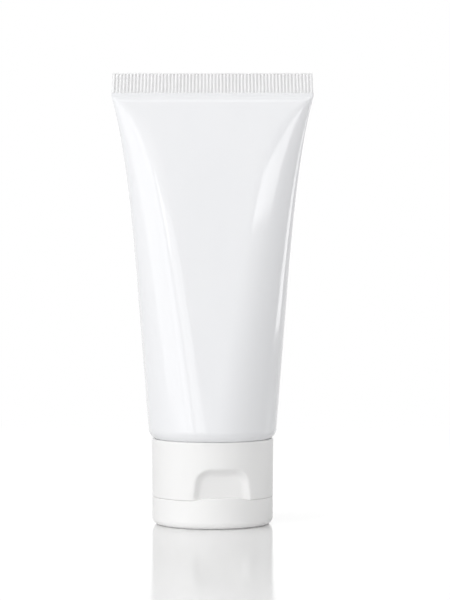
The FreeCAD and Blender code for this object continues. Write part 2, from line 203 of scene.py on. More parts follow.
def section(height):
    """Half the width, half the depth and half the flat panel at this height."""
    part = min(max((height - HEEL_TOP) / (SEAL_BASE - HEEL_TOP), 0.0), 1.0)
    width = TUBE_RADIUS + FLARE * part + FLARE_END * part ** FLARE_POWER
    left = 1 - part
    pressed = left ** 2 / (left ** 2 + SEAL_EASE ** 2)
    depth = SEAL_HALF + (TUBE_RADIUS - SEAL_HALF) * left ** DEPTH_POWER * pressed
    panel = PANEL_START + PANEL_SPREAD * part + PANEL_CORNER * part ** PANEL_POWER
    return width, depth, panel


middle_section = section((HEEL_TOP + SEAL_BASE) / 2)
print("section at mid height, mm:", [round(value / MM, 2) for value in middle_section])

# %% [markdown]
# Every ring needs the same number of points, so that the rings join up. Spaced by length alone they would be
# too few at the tight ends of a flat section; spaced by the turn alone they would leave the panels bare.

# %% Points of the section
SAMPLES = 160


def quarter(width, depth, panel, columns):
    """Points of a quarter of the section, spaced half by length and half by how the film turns."""
    line = [(0.0, depth)]
    for step in range(SAMPLES + 1):
        angle = math.pi / 2 * step / SAMPLES
        line.append((panel + (width - panel) * math.sin(angle), depth * math.cos(angle)))
    reach = [0.0]
    for (x0, y0), (x1, y1) in zip(line, line[1:]):
        reach.append(reach[-1] + math.hypot(x1 - x0, y1 - y0))
    turns = [0.0, 0.0]
    for (x0, y0), (x1, y1), (x2, y2) in zip(line, line[1:], line[2:]):
        first, second = math.atan2(y0 - y1, x1 - x0), math.atan2(y1 - y2, x2 - x1)
        turns.append(turns[-1] + abs(second - first))
    measure = [0.5 * a / reach[-1] + 0.5 * b / turns[-1] for a, b in zip(reach, turns)]
    points, place = [], 0
    for column in range(columns + 1):
        goal = column / columns * measure[-1]
        while place < len(measure) - 2 and measure[place + 1] < goal:
            place += 1
        span = measure[place + 1] - measure[place]
        share = (goal - measure[place]) / span if span else 0.0
        (x0, y0), (x1, y1) = line[place], line[place + 1]
        points.append((x0 + (x1 - x0) * share, y0 + (y1 - y0) * share))
    return points


def whole_section(width, depth, panel, columns):
    """The closed section, from the back's middle round to the right."""
    corner = quarter(width, depth, panel, columns)
    right = corner + [(x, -y) for x, y in reversed(corner[:-1])]
    return right + [(-x, y) for x, y in reversed(right[1:-1])]

# %% [markdown]
# ## The sleeve
# The real sleeve is an extruded pipe of soft film. Here it starts as a circle at the curled edge under
# the heel and is extruded upwards ring by ring, as the film is drawn; each ring then takes the section
# of its height. A cylinder squeezed by a lattice would be quicker to make, but its girth would wander.
# Rings stand closer where the form turns fast, at the heel and near the seal.

# %% Rings of the sleeve
COLUMNS = 44
AROUND = 4 * COLUMNS
HEEL_RINGS, FREE_RINGS = 12, 84
CURL = 0.4 * MM
SEAL_LAP = 0.02 * MM
LEAST_LIFT = 0.001 * MM


def ring_plan():
    """Width, depth, panel and height of every ring, from the curled edge to the top."""
    plan = []
    middle = TUBE_RADIUS - HEEL
    plan.append((middle - CURL, middle - CURL, PANEL_START, SHOULDER))
    for step in range(HEEL_RINGS):
        angle = math.pi / 2 * (1 - step / HEEL_RINGS)
        across = middle + HEEL * math.cos(angle)
        plan.append((across, across, PANEL_START, HEEL_TOP - HEEL * math.sin(angle)))
    for step in range(FREE_RINGS + 1):
        share = (1 - math.cos(math.pi * step / FREE_RINGS)) / 2
        height = HEEL_TOP + (SEAL_BASE - HEEL_TOP) * share
        plan.append((*section(height), height))
    plan.append((*section(SEAL_BASE), SEAL_BASE + SEAL_STRIP + SEAL_LAP))
    return plan


start_fresh()
plan = ring_plan()
bpy.ops.mesh.primitive_circle_add(vertices=AROUND, radius=plan[0][0], location=(0, 0, plan[0][3]))
sleeve = take_new()
for lower, upper in zip(plan, plan[1:]):
    lift = max(upper[3] - lower[3], LEAST_LIFT)
    bpy.ops.mesh.extrude_region_move(TRANSFORM_OT_translate={"value": (0, 0, lift)})
mesh = bmesh.from_edit_mesh(sleeve.data)
mesh.verts.ensure_lookup_table()
for row, (width, depth, panel, height) in enumerate(plan):
    outline = whole_section(width, depth, panel, COLUMNS)
    ring = mesh.verts[row * AROUND:(row + 1) * AROUND]
    ring = sorted(ring, key=lambda vertex: math.atan2(vertex.co.x, vertex.co.y) % (2 * math.pi))
    for vertex, (x, y) in zip(ring, outline):
        vertex.co = Vector((x, y, height))
bmesh.update_edit_mesh(sleeve.data)
print("sleeve rings:", len(plan))

# %% [markdown]
# The top ring is filled, because the seal closes it, and the skin gets the film's thickness inwards. A second
# skin drawn inside could do the same, but Solidify keeps the thickness even. The wall is a little under half
# the seal's thickness, so the two faces don't cross inside it.

# %% Wall of the sleeve
FILM_WALL = 0.4 * MM
bpy.ops.mesh.edge_face_add()
bpy.ops.object.mode_set(mode="OBJECT")
close_up(sleeve)
finish_modifier(sleeve, "SOLIDIFY", thickness=FILM_WALL, offset=-1, use_even_offset=True)
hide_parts("sleeve")
settle(sleeve, "sleeve_film", "tube", angle=50)

# %% [markdown]
# ## The crimp
# Hot jaws press the open end flat and leave fine upright ribs, in step on both faces. One rib is modelled:
# a small block cut into columns, whose two faces follow a wave that fades out at its foot and under a plain
# rim. A bump in the finish would be cheaper, but the grooves hold real shade, so the ribs are modelled.
# Their finish also paints more shade into the grooves.

# %% One rib
RIBS = 58
PITCH = 2 * CRIMP_HALF / RIBS
RIB_COLUMNS = 12
RIB_ROWS = (0.05, 0.1, 0.17, 0.25, 0.35, 1.2, 2.2, 3.2, 4.2, 4.9, 5.08, 5.12, 5.16, 5.2, 5.42)  # mm
RIB_DEPTH = 0.17 * MM
RIB_SQUARE, RIB_BROAD = 1.7, 0.18
RIB_FADE = 0.35 * MM
RIM, RIM_FADE = 0.3 * MM, 0.12 * MM
CRIMP_BASE = TUBE_TOP - CRIMP_TALL


def rib_wave(share):
    """The rib's height across its pitch: a broad ridge and a narrower groove, from about -1 to 1."""
    ridge = math.cos(2 * math.pi * (share - 0.5))
    return math.tanh(RIB_SQUARE * (ridge + RIB_BROAD)) / math.tanh(RIB_SQUARE)


start_fresh()
bpy.ops.mesh.primitive_cube_add(
    size=1, location=(-CRIMP_HALF + PITCH / 2, 0, CRIMP_BASE + CRIMP_TALL / 2),
    scale=(PITCH, 2 * SEAL_HALF, CRIMP_TALL))
crimp = take_new()
for cut in range(1, RIB_COLUMNS):
    cut_across((-CRIMP_HALF + PITCH * cut / RIB_COLUMNS, 0, 0), (1, 0, 0))
for row in RIB_ROWS:
    cut_across((0, 0, CRIMP_BASE + row * MM), (0, 0, 1))
bpy.ops.object.mode_set(mode="OBJECT")
print("rib block:", len(crimp.data.vertices), "vertices")

# %% [markdown]
# The block's faces take the wave, and an Array repeats it across the tube. The row keeps plain margins at its
# sides and is drawn in a little towards its top corners. Slight unevenness along it keeps it from looking
# machined, because the film creeps between the jaws.

# %% The wave, the row and its trim
MARGIN = 0.45 * MM
TAPER = 0.25 * MM
CREEP, CREEP_WAVES = 0.07 * MM, (0.9 / MM, 1.3)
UNEVEN, UNEVEN_WAVES = 0.12, (0.35 / MM, 1.0)


def wander(across, rise, row, waves):
    """Slow noise along the row of ribs."""
    return noise.noise(Vector((across * waves[0], row, rise * waves[1])))


for vertex in crimp.data.vertices:
    share = (vertex.co.x + CRIMP_HALF) / PITCH
    foot = ease((vertex.co.z - CRIMP_BASE) / RIB_FADE)
    rim = ease((TUBE_TOP - RIM - vertex.co.z) / RIM_FADE)
    vertex.co.y -= RIB_DEPTH * (rib_wave(share) * foot * rim)
finish_modifier(crimp, "ARRAY", count=RIBS, use_merge_vertices=True, merge_threshold=0.002 * MM,
                use_relative_offset=False, use_constant_offset=True,
                constant_offset_displace=(PITCH, 0, 0))
for vertex in crimp.data.vertices:
    rise = (vertex.co.z - CRIMP_BASE) / CRIMP_TALL
    plain = math.copysign(SEAL_HALF, vertex.co.y)
    vertex.co.y = plain + (vertex.co.y - plain) * ease((CRIMP_HALF - abs(vertex.co.x)) / MARGIN)
    inside = 1 - ease((abs(vertex.co.x) - CRIMP_HALF + 2 * PITCH) / (2 * PITCH))
    drift = CREEP * inside * wander(vertex.co.x, rise, 0, CREEP_WAVES)
    vertex.co.x = vertex.co.x * (1 - TAPER * rise / CRIMP_HALF) + drift
    vertex.co.y *= 1 + UNEVEN * wander(vertex.co.x, rise, 7, UNEVEN_WAVES)
settle(crimp, "crimp_ribs", "tube", angle=60)

# %% [markdown]
# ## Turning a profile
# Cap and lid are injection mouldings and round, so each is one profile turned about Z. The profile
# starts as a single point that is extruded from corner to corner; its corners are bevelled while it
# is still flat, and then it is spun. The Screw modifier would turn it too; the Spin operator is at hand while
# the profile is being edited. The spun columns are crowded towards the front and the back, where the
# thumb recess and the hinge need fine faces, and stay coarse at the plain sides.

# %% Drawing and spinning a profile
STEPS = 256
CROWDING = 0.325
SAME_POINT = 0.002 * MM
NEAR = 0.1 * MM
TINY = 0.01 * MM


def draw_profile(corners):
    """A line in the XZ plane through corners of radius and height, in metres."""
    start_fresh()
    bpy.ops.mesh.primitive_plane_add(size=0.1 * MM, location=(0, 0, 0))
    piece = take_new()
    bpy.ops.mesh.select_all(action="SELECT")
    bpy.ops.mesh.merge(type="CENTER")
    bpy.ops.transform.translate(value=(corners[0][0], 0, corners[0][1]))
    for (x0, z0), (x1, z1) in zip(corners, corners[1:]):
        bpy.ops.mesh.extrude_region_move(TRANSFORM_OT_translate={"value": (x1 - x0, 0, z1 - z0)})
    bpy.ops.mesh.select_all(action="SELECT")
    return piece


def soften(piece, corner, radius, segments):
    """Bevels one corner of a profile into a round."""
    x, z = corner
    found = pick(piece, "verts", lambda p: abs(p.x - x) < SAME_POINT and abs(p.z - z) < SAME_POINT)
    if found:
        bpy.ops.mesh.bevel(offset=radius, offset_type="OFFSET", segments=segments, affect="VERTICES",
                           profile=0.5, clamp_overlap=True)


def round_corners(piece, corners, rounds):
    """Rounds corners by their number, each with a radius in millimetres and its segments."""
    for number, (radius, segments) in rounds.items():
        soften(piece, corners[number], radius * MM, segments)


def refine(piece, cuts, test):
    """Cuts the picked edges of a flat profile into equal lengths."""
    pick(piece, "edges", test)
    bpy.ops.mesh.subdivide(number_cuts=cuts)


def crowd(angle):
    """Moves a column's angle towards the front or the back, whichever is nearer."""
    return angle - CROWDING * math.sin(2 * angle)


def turn_profile(piece):
    """Spins the profile about Z and crowds its columns."""
    bpy.ops.mesh.select_all(action="SELECT")
    bpy.ops.mesh.spin(steps=STEPS, angle=2 * math.pi, center=(0, 0, 0), axis=(0, 0, 1))
    bpy.ops.object.mode_set(mode="OBJECT")
    close_up(piece)
    for vertex in piece.data.vertices:
        radius = math.hypot(vertex.co.x, vertex.co.y)
        angle = crowd(math.atan2(vertex.co.x, -vertex.co.y))
        vertex.co.x = radius * math.sin(angle)
        vertex.co.y = -radius * math.cos(angle)


def screw_home(piece):
    """Turns a piece of the cap to where it sits on the closed tube."""
    piece.data.transform(Matrix.Rotation(CAP_TURN, 4, "Z"))

# %% [markdown]
# ## The cap's body
# From outside in, the profile follows the drafted wall, the rim, the hollow where the shoulder sits, the
# deck, the skirt that screws on the neck, the plug ring that seals the neck's mouth, the orifice
# and the nozzle. One profile gives one wall without joints, as the mould does. Moulded corners are never
# sharp, so most get a small round; only the roots deep inside stay plain.

# %% Profile of the cap
WALL = 1.2 * MM
RIM_SEAT = 0.66 * MM
DECK_TOP = SEAM + 1.4 * MM
LAND = SEAM - 0.9 * MM
NOZZLE_TIP = LAND - 1.5 * MM
SKIRT_TOP = SHOULDER - 2.1 * MM
PLUG_TOP = DECK_TOP + 3.2 * MM
INNER = LID_RADIUS - WALL
SKIRT, SKIRT_BORE = 9.6 * MM, 8.5 * MM
PLUG, PLUG_BORE = 4.3 * MM, 3.5 * MM
NOZZLE, ORIFICE = 4.0 * MM, 1.6 * MM
LAND_RADIUS = 12.0 * MM

cap_corners = [
    (LID_RADIUS, SEAM), (CAP_RADIUS, CAP_TOP), (INNER + RIM_SEAT, CAP_TOP), (INNER, CAP_TOP - RIM_SEAT),
    (INNER, DECK_TOP), (SKIRT, DECK_TOP), (SKIRT, SKIRT_TOP), (SKIRT_BORE, SKIRT_TOP),
    (SKIRT_BORE, DECK_TOP), (PLUG, DECK_TOP), (PLUG, PLUG_TOP), (PLUG_BORE, PLUG_TOP),
    (PLUG_BORE, DECK_TOP), (ORIFICE, LAND), (ORIFICE, NOZZLE_TIP), (NOZZLE, NOZZLE_TIP),
    (NOZZLE, LAND), (LAND_RADIUS, LAND), (LAND_RADIUS, SEAM),
]
cap_rounds = {
    0: (0.1, 3), 1: (0.38, 6), 2: (0.06, 2), 3: (0.2, 2), 4: (0.5, 3), 6: (0.25, 3), 7: (0.25, 3),
    10: (0.2, 2), 11: (0.2, 2), 14: (0.3, 3), 15: (0.8, 5), 16: (0.3, 3), 17: (0.2, 3), 18: (0.2, 2),
}
cap = draw_profile(cap_corners + cap_corners[:1])
bpy.ops.mesh.remove_doubles(threshold=SAME_POINT)
round_corners(cap, cap_corners, cap_rounds)
refine(cap, 77, lambda p: p.x > CAP_RADIUS - 0.4 * MM and SEAM + 2 * MM < p.z < CAP_TOP - 2 * MM)
refine(cap, 30, lambda p: abs(p.x - INNER) < NEAR and DECK_TOP + 2 * MM < p.z < CAP_TOP - 2 * MM)
turn_profile(cap)
print("cap turned:", len(cap.data.vertices), "vertices")

# %% [markdown]
# ## The thumb recess
# Over the lid's lip the wall is pressed in for a thumb nail: an opening with round upper corners and a
# scooped floor. It is made by moving the fine wall in by a smooth profile of the distance to
# the recess's outline, which gives the soft outer edge and the round bottom without a seam. A Boolean cut
# would leave a hard edge to round off. The inner wall moves with it, one wall's thickness behind.

# %% Pressing the recess in
RECESS_HALF = 7.9 * MM
RECESS_TOP = 16.1 * MM
RECESS_CORNER = 3.6 * MM
RECESS_LEAN = 0.13
RECESS_FLOOR = 13.6 * MM
SCOOP, SCOOP_ROUND = 2.3 * MM, 2.3
EDGE_SOFT = 0.13
EDGE_START = 0.118
OUTER_SKIN = 0.62 * MM


def inside_outline(x, z, half, top, corner):
    """How far a point lies inside the recess's outline, whose sides lean; negative outside."""
    dx = abs(x) + RECESS_LEAN * (z - SEAM) - (half - corner)
    dz = z - (top - corner)
    outside = math.hypot(max(dx, 0.0), max(dz, 0.0)) + min(max(dx, dz), 0.0)
    return corner - outside


def scoop_depth(distance, width):
    """The share of the full depth reached at this distance inside the outline, with a soft outer edge."""
    share = distance / width
    if share <= -EDGE_SOFT * 2:
        return 0.0
    share = (share + math.sqrt(share * share + EDGE_SOFT * EDGE_SOFT)) / 2 - EDGE_SOFT * EDGE_START
    share = min(max(share, 0.0), 1.0)
    return 1 - (1 - share) ** SCOOP_ROUND


def press_recess(piece):
    """Moves the front of the wall in to the recess's floor."""
    for vertex in piece.data.vertices:
        place = vertex.co
        radius = math.hypot(place.x, place.y)
        if place.y > 0 or place.z < SEAM - TINY or radius < RECESS_FLOOR - WALL:
            continue
        back = 0.0 if radius > CAP_RADIUS - OUTER_SKIN else WALL
        depth = inside_outline(
            place.x, place.z, RECESS_HALF + back, RECESS_TOP + back, RECESS_CORNER + back)
        goal = -(RECESS_FLOOR - back)
        if depth > -SCOOP and goal > place.y:
            place.y += (goal - place.y) * scoop_depth(depth, SCOOP)


press_recess(cap)
print(f"recess floor {RECESS_FLOOR / MM:.1f} mm in front of the axis")

# %% [markdown]
# ## The hinge's lips
# Behind, the film hinge is held by two short lips that stand a little proud of the wall, one on the cap
# and one on the lid. They are drawn out of the same wall, because blocks set on it would leave a crease.

# %% Drawing the hinge's lips out
HINGE_REACH = 0.55 * MM
HINGE_HALF = 4.5 * MM
HINGE_TALL = 1.4 * MM
HINGE_OVER = 1.0 * MM
LIP_SOFT = 0.3 * MM
OUTER_BAND = 0.3 * MM


def draw_lip(piece, low, high):
    """Moves the back of the wall out between two heights."""
    for vertex in piece.data.vertices:
        place = vertex.co
        radius = math.hypot(place.x, place.y)
        if place.y < 0 or radius < LID_RADIUS - OUTER_BAND:
            continue
        side = ease((HINGE_HALF - abs(place.x)) / LIP_SOFT + 0.5)
        above = ease((place.z - low) / LIP_SOFT + 0.5)
        below = ease((high - place.z) / LIP_SOFT + 0.5)
        push = 1 + HINGE_REACH * side * above * below / radius
        place.x *= push
        place.y *= push


draw_lip(cap, SEAM - HINGE_OVER, SEAM + HINGE_TALL)
screw_home(cap)
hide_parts("cap_body")
settle(cap, "cap_shell", "cap", angle=40)

# %% [markdown]
# ## The lid
# The lid is a shallow cup turned upside down under the cap: the tube stands on its flat. Its outer corner
# has a large round. Inside are the ring that closes round the nozzle and the pin that plugs the orifice.
# It is turned in the same way as the cap, with its profile open at the axis, where it closes by itself.

# %% Profile of the lid
LID_FLOOR = 1.3 * MM
LID_CORNER = 2.1 * MM
PIN, PIN_TIP = 1.4 * MM, NOZZLE_TIP + 1.2 * MM
RING, RING_BORE, RING_TIP = 5.05 * MM, 4.25 * MM, NOZZLE_TIP + 0.6 * MM

lid_corners = [
    (0.0, 0.0), (LID_RADIUS, 0.0), (LID_RADIUS, LID_TOP), (INNER, LID_TOP), (INNER, LID_FLOOR),
    (RING, LID_FLOOR), (RING, RING_TIP), (RING_BORE, RING_TIP), (RING_BORE, LID_FLOOR),
    (PIN, LID_FLOOR), (PIN, PIN_TIP), (0.0, PIN_TIP),
]
lid_rounds = {
    1: (LID_CORNER / MM, 18), 2: (0.12, 3), 3: (0.15, 2), 4: ((LID_CORNER - WALL) / MM, 8),
    6: (0.25, 3), 7: (0.25, 3), 10: (0.6, 5),
}
lid = draw_profile(lid_corners)
round_corners(lid, lid_corners, lid_rounds)
refine(lid, 23, lambda p: p.x > LID_RADIUS - NEAR and 4.5 * MM < p.z < 6.5 * MM)
refine(lid, 9, lambda p: abs(p.x - INNER) < NEAR and 4.5 * MM < p.z < 6.5 * MM)
refine(lid, 4, lambda p: 2 * MM < p.x < 12 * MM and p.z < TINY)
turn_profile(lid)
print("lid turned:", len(lid.data.vertices), "vertices")

# %% [markdown]
# ## The thumb lip
# In front the lid's rim rises into a gentle arch, the lip that a thumb pushes. It is raised out of the same
# rim, so that the lid stays one smooth wall.

# %% Raising the thumb lip
LIP_GAP = 0.02 * MM
LIP_HALF = RECESS_HALF - LIP_GAP
LIP_RISE = 0.75 * MM
LIP_DEPTH = 1.6 * MM
LIP_ENDS, LIP_CROWN = 0.42, 0.28
LIP_LEAST = 0.3 * MM


def raise_lip(piece):
    """Lifts the front of the rim into an arch and thickens it back to the recess's floor."""
    back = -(RECESS_FLOOR + LIP_GAP)
    for vertex in piece.data.vertices:
        place = vertex.co
        radius = math.hypot(place.x, place.y)
        share = abs(place.x) / LIP_HALF
        if place.y > 0 or share >= 1 or place.z < LID_TOP - LIP_DEPTH or radius < INNER - NEAR:
            continue
        climb = ease((place.z - LID_TOP + LIP_DEPTH) / LIP_DEPTH)
        arch = ease((1 - share) / LIP_ENDS) * (1 - LIP_CROWN * share * share)
        place.z += LIP_RISE * arch * climb
        if radius < LID_RADIUS - WALL / 2 and place.y < back:
            beside = max(1 - (LIP_HALF - abs(place.x)) / SCOOP, 0.0)
            corner = SCOOP * (1 - math.sqrt(max(1 - beside ** 2, 0.0)))
            goal = max(back - corner, LIP_LEAST - LID_RADIUS)
            place.y += (max(goal, place.y) - place.y) * ease(climb * 2)


raise_lip(lid)
draw_lip(lid, LID_TOP - HINGE_TALL, LID_TOP + HINGE_OVER)
screw_home(lid)
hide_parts("lid")
settle(lid, "lid_cup", "lid", angle=40)

# %% [markdown]
# ## The film hinge
# A strip of the same plastic, a quarter of a millimetre thick, joins the two lips. It rides on neither,
# because on one of them alone it would tear off the other; nothing here bends it as the lid opens. It is cut
# into short lengths, so that it could bend.

# %% The hinge's strip
HINGE_CUTS = 16
HINGE_THIN, HINGE_SINK, HINGE_ROUND = 0.25 * MM, 0.02 * MM, 0.05 * MM
STRIP_HALF = HINGE_HALF - 0.3 * MM
STRIP_TALL = 1.1 * MM
hinge_radius = LID_RADIUS + HINGE_REACH
strip_middle = (SEAM + LID_TOP) / 2
start_fresh()
bpy.ops.mesh.primitive_cube_add(size=1, location=(0, hinge_radius - HINGE_SINK, strip_middle),
                                scale=(2 * STRIP_HALF, HINGE_THIN, STRIP_TALL))
hinge = take_new()
for cut in range(1, HINGE_CUTS):
    share = cut / HINGE_CUTS
    cut_across(((2 * share - 1) * STRIP_HALF, 0, 0), (1, 0, 0))
    cut_across((0, 0, strip_middle + (share - 0.5) * STRIP_TALL), (0, 0, 1))
bpy.ops.object.mode_set(mode="OBJECT")
for vertex in hinge.data.vertices:
    vertex.co.y -= hinge_radius - math.sqrt(hinge_radius ** 2 - vertex.co.x ** 2)
finish_modifier(hinge, "BEVEL", width=HINGE_ROUND, segments=2, limit_method="ANGLE")
screw_home(hinge)
settle(hinge, "hinge_film", None, angle=40)
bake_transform(hinge)

# %% [markdown]
# ## The head
# Under the cap the sleeve is welded to a moulded head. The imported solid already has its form, so a copy of
# it is merged and smoothed, with its broad faces leading the shading. The cap hides it on the closed tube,
# so a finer model of it would gain little.

# %% The head
packed_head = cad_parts["tube_head"]
head = bpy.data.objects.new("head", packed_head.data.copy())
bpy.context.scene.collection.objects.link(head)
head.data.materials.clear()
close_up(head)
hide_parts("tube_head")
settle(head, "head_moulding", "tube", angle=25)
finish_modifier(head, "WEIGHTED_NORMAL", weight=100, keep_sharp=True)

# %% [markdown]
# ## The thread
# The thread on the neck is a low ridge: a small profile that the Screw modifier sweeps along two and a half
# turns, thinned out at both ends. A chain of rings would be simpler, but the cap couldn't climb it.

# %% The neck's thread
NECK_RADIUS = 7.6 * MM
THREAD_ROUND, THREAD_ROOT, THREAD_RISE = 0.7 * MM, 0.3 * MM, 0.6 * MM
THREAD_STEPS = 120
THREAD_PITCH, THREAD_TURNS = 2.6 * MM, 2.5
THREAD_RUN = 1.6 * MM
THREAD_LOW = NECK_END + 2.0 * MM
THREAD_HIGH = THREAD_LOW + THREAD_PITCH * THREAD_TURNS
start_fresh()
bpy.ops.mesh.primitive_circle_add(vertices=8, radius=THREAD_ROUND, rotation=(math.pi / 2, 0, 0),
                                  location=(NECK_RADIUS, 0, THREAD_LOW), fill_type="NOTHING")
thread = bpy.context.object
bpy.ops.object.transform_apply(location=True, rotation=True, scale=True)
finish_modifier(thread, "SCREW", angle=2 * math.pi * THREAD_TURNS,
                screw_offset=THREAD_PITCH * THREAD_TURNS, steps=THREAD_STEPS,
                render_steps=THREAD_STEPS, use_merge_vertices=False)
edit(thread)
bpy.ops.mesh.select_all(action="SELECT")
bpy.ops.mesh.select_mode(type="EDGE")
bpy.ops.mesh.region_to_loop()
bpy.ops.mesh.edge_face_add()
bpy.ops.object.mode_set(mode="OBJECT")
close_up(thread)
for vertex in thread.data.vertices:
    radius = math.hypot(vertex.co.x, vertex.co.y)
    start = ease((vertex.co.z - THREAD_LOW + THREAD_ROUND) / THREAD_RUN)
    end = ease((THREAD_HIGH + THREAD_ROUND - vertex.co.z) / THREAD_RUN)
    root = NECK_RADIUS - THREAD_ROOT
    goal = root + min(radius - root, THREAD_RISE + THREAD_ROOT) * start * end
    vertex.co.x *= goal / radius
    vertex.co.y *= goal / radius
settle(thread, "neck_thread", "tube", angle=50)

# %% [markdown]
# ## Writing shader maths as expressions
# A material is a graph of nodes. Most of it is arithmetic on masks, which is easier to read as an expression
# than as a chain of boxes. The class below wraps a socket, so that adding or multiplying two of
# them adds the Math node that does it.

# %% The socket class
class Wire:
    """A socket of a material that takes part in arithmetic."""

    def __init__(self, finish, socket):
        self.finish = finish
        self.socket = socket

    def math(self, operation, first, second=0.0):
        return self.finish.node("ShaderNodeMath", {"operation": operation}, {0: first, 1: second})

    def __add__(self, other):
        return self.math("ADD", self, other)

    def __rsub__(self, other):
        return self.math("SUBTRACT", other, self)

    def __mul__(self, other):
        return self.math("MULTIPLY", self, other)

    __radd__ = __add__

# %% [markdown]
# A finish then needs few tools: a noise for the grain, a mix for its colours, a bump for its relief and the
# Principled shader. They are written once here, and every material is put together from them.

# %% The finish class
class Finish:
    """A material whose nodes are added by one method and joined by expressions."""

    def __init__(self, name):
        self.material = bpy.data.materials.new(name)
        self.material.use_nodes = True
        self.tree = self.material.node_tree
        self.tree.nodes.clear()

    def node(self, kind, settings=None, sockets=None, output=0):
        made = self.tree.nodes.new(kind)
        for key, value in (settings or {}).items():
            setattr(made, key, value)
        for key, value in (sockets or {}).items():
            if isinstance(value, Wire):
                self.tree.links.new(value.socket, made.inputs[key])
            else:
                made.inputs[key].default_value = value
        return Wire(self, made.outputs[output]) if made.outputs else None

    def place(self, stretch):
        """Object coordinates, stretched."""
        here = self.node("ShaderNodeTexCoord", output="Object")
        return self.node("ShaderNodeMapping", {}, {"Vector": here, "Scale": stretch})

    def grain(self, scale, detail, stretch=(1, 1, 1)):
        """Noise from 0 to 1 at so many waves a metre."""
        place = self.place(stretch)
        sockets = {"Vector": place, "Scale": scale, "Detail": detail}
        return self.node("ShaderNodeTexNoise", {}, sockets, output="Fac")

    def between(self, factor, first, second):
        """A colour between two."""
        sockets = {"Factor": factor, 6: first, 7: second}
        return self.node("ShaderNodeMix", {"data_type": "RGBA"}, sockets, output=2)

    def bump(self, height, distance):
        """The normal of a surface that rises by this distance, in metres, where the height is 1."""
        sockets = {"Height": height, "Distance": distance, "Strength": 1.0}
        return self.node("ShaderNodeBump", {}, sockets)

    def seen(self):
        """1 for what the camera sees, straight or in gloss and glass, and 0 for light on the object."""
        camera, glossy, glass = (self.node("ShaderNodeLightPath", output=f"Is {kind} Ray")
                                 for kind in ("Camera", "Glossy", "Transmission"))
        return camera.math("MINIMUM", camera + glossy + glass, 1.0)

    def surface(self, shader):
        """Joins the shader to the output and gives the finished material."""
        self.node("ShaderNodeOutputMaterial", {}, {"Surface": shader})
        print(f"{self.material.name}: {len(self.tree.nodes)} nodes")
        return self.material

    def plastic(self, sockets):
        """The Principled shader as the surface."""
        return self.surface(self.node("ShaderNodeBsdfPrincipled", {}, sockets))

# %% [markdown]
# ## The film
# Extruded polyethylene film is smooth and glossy, cool white, and never quite even: its surface wanders by
# a few hundredths of a millimetre over each centimetre, which makes reflections waver, and carries faint
# lines along the way it was drawn. Its colour is almost flat, with a slight cloudiness. One even gloss would
# be simpler, but its reflections would look ruled.

# %% Film finish
def film_finish():
    film = Finish("film_gloss")
    cloud = film.grain(90, 2.0, (1, 1, 0.35))
    drawn = film.grain(900, 2.0, (1, 1, 0.03))
    fine = film.grain(2600, 2.0)
    colour = film.between(cloud, (0.857, 0.864, 0.883, 1), (0.887, 0.892, 0.908, 1))
    height = cloud * 0.75 + drawn * 0.18 + fine * 0.07
    return film.plastic({
        "Base Color": colour,
        "Roughness": 0.05 + cloud * 0.03 + fine * 0.02,
        "Normal": film.bump(height, 0.06 * MM),
        "IOR": 1.5,
    })


film = film_finish()

# %% [markdown]
# ## The crimp's finish
# The pressed ribs are the same film, but the hot jaws leave them a little duller, with fine marks across.
# The grooves are given a greyer colour as painted shade, deeper than the modelled ribs cast. The mask between
# the two comes from how far a point lies from the crimp's middle, so it follows the ribs.

# %% Crimp finish
def crimp_finish():
    pressed = Finish("film_pressed")
    marks = pressed.grain(3000, 3.0, (0.25, 0.25, 1))
    cloud = pressed.grain(160, 2.0)
    here = pressed.node("ShaderNodeTexCoord", output="Object")
    out = pressed.node("ShaderNodeSeparateXYZ", {}, {0: here}, output="Y")
    # Painted shade mask: 0 in the grooves, 1 on the ridges.
    groove_shade_mask = pressed.node("ShaderNodeMapRange", {}, {
        "Value": out.math("ABSOLUTE", out), "From Min": SEAL_HALF - RIB_DEPTH,
        "From Max": SEAL_HALF + 0.05 * MM})
    ridge = pressed.between(cloud, (0.9, 0.9, 0.905, 1), (0.94, 0.94, 0.945, 1))
    # Painted shade: the grooves get a darker grey than the ridges.
    colour = pressed.between(groove_shade_mask, (0.74, 0.74, 0.74, 1), ridge)
    return pressed.plastic({
        "Base Color": colour,
        "Roughness": 0.26 + marks * 0.1,
        "Normal": pressed.bump(marks * 0.6 + cloud * 0.4, 0.03 * MM),
        "IOR": 1.5,
    })


pressed = crimp_finish()

# %% [markdown]
# ## The moulded plastic
# Cap and lid are moulded polypropylene with a satin surface: the mould was blasted, so it carries a very
# fine even grain, with faint flow clouds under it. It is a touch warmer than the film. The grain is a bump
# and not a displacement, because it is much finer than the mesh.

# %% Cap finish
def cap_finish():
    satin = Finish("cap_satin")
    flow = satin.grain(70, 2.0, (1, 1, 0.6))
    blast = satin.grain(5200, 2.0)
    soft = satin.grain(700, 2.0)
    colour = satin.between(flow, (0.89, 0.887, 0.882, 1), (0.915, 0.913, 0.909, 1))
    return satin.plastic({
        "Base Color": colour,
        "Roughness": 0.34 + blast * 0.08 + flow * 0.05,
        "Normal": satin.bump(blast * 0.45 + soft * 0.4 + flow * 0.15, 0.02 * MM),
        "IOR": 1.49,
    })


satin = cap_finish()

# %% [markdown]
# ## Head and cream
# The head is natural polyethylene, slightly waxy. The cream inside is off-white and soft, with a shine that
# its wavy surface breaks up. Both are the same recipe with other numbers, so one function makes them.

# %% Head and cream finishes
def waxy_finish(name, dark, light, rough, wave, depth):
    """A soft finish between two colours, with clouds of so many waves a metre."""
    waxy = Finish(name)
    cloud = waxy.grain(wave, 3.0)
    fine = waxy.grain(wave * 12, 2.0)
    return waxy.plastic({
        "Base Color": waxy.between(cloud, dark, light),
        "Roughness": rough + fine * 0.1,
        "Normal": waxy.bump(cloud * 0.7 + fine * 0.3, depth),
        "IOR": 1.5,
    })


